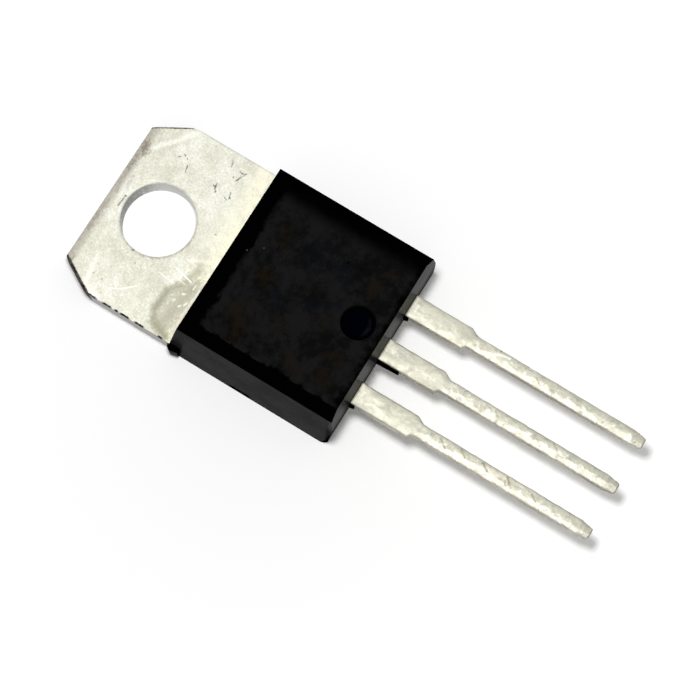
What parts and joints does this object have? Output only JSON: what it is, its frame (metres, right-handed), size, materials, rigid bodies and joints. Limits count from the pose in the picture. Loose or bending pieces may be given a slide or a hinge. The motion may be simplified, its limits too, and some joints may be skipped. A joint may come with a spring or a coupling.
{
  "type": "triac",
  "caption": "Three-lead power triac: black moulded body with bevelled front, plated metal mounting tab with cut corners and a round hole, and straight shouldered leads.",
  "frame": {"origin": "centre of the mounting hole, on the mounting (back) face", "axes": "+Z out of the front face, +Y towards the end of the tab with the leads along -Y, +X towards the gate lead"},
  "size_m": [0.0105, 0.029, 0.0045],
  "materials": {
    "moulding": "matte black epoxy moulding compound",
    "tab_plating": "dull tin plate over copper, scratched",
    "lead_plating": "dull tin plate over copper",
    "solder": "dull solder",
    "alumina": "white alumina",
    "silicon": "metallised silicon",
    "bare_copper": "bare copper"
  },
  "bodies": {
    "root": {"moulded_body": "moulding", "heat_sink_tab": "tab_plating", "ceramic_solder_lower": "solder", "ceramic_insulator": "alumina", "ceramic_solder_upper": "solder", "anode2_lead": "lead_plating", "die_solder": "solder", "triac_die": "silicon", "anode1_solder": "solder", "anode1_clip": "bare_copper", "anode1_post_solder": "solder", "anode1_lead": "lead_plating", "gate_solder": "solder", "gate_clip": "bare_copper", "gate_post_solder": "solder", "gate_lead": "lead_plating"}
  },
  "joints": []
}
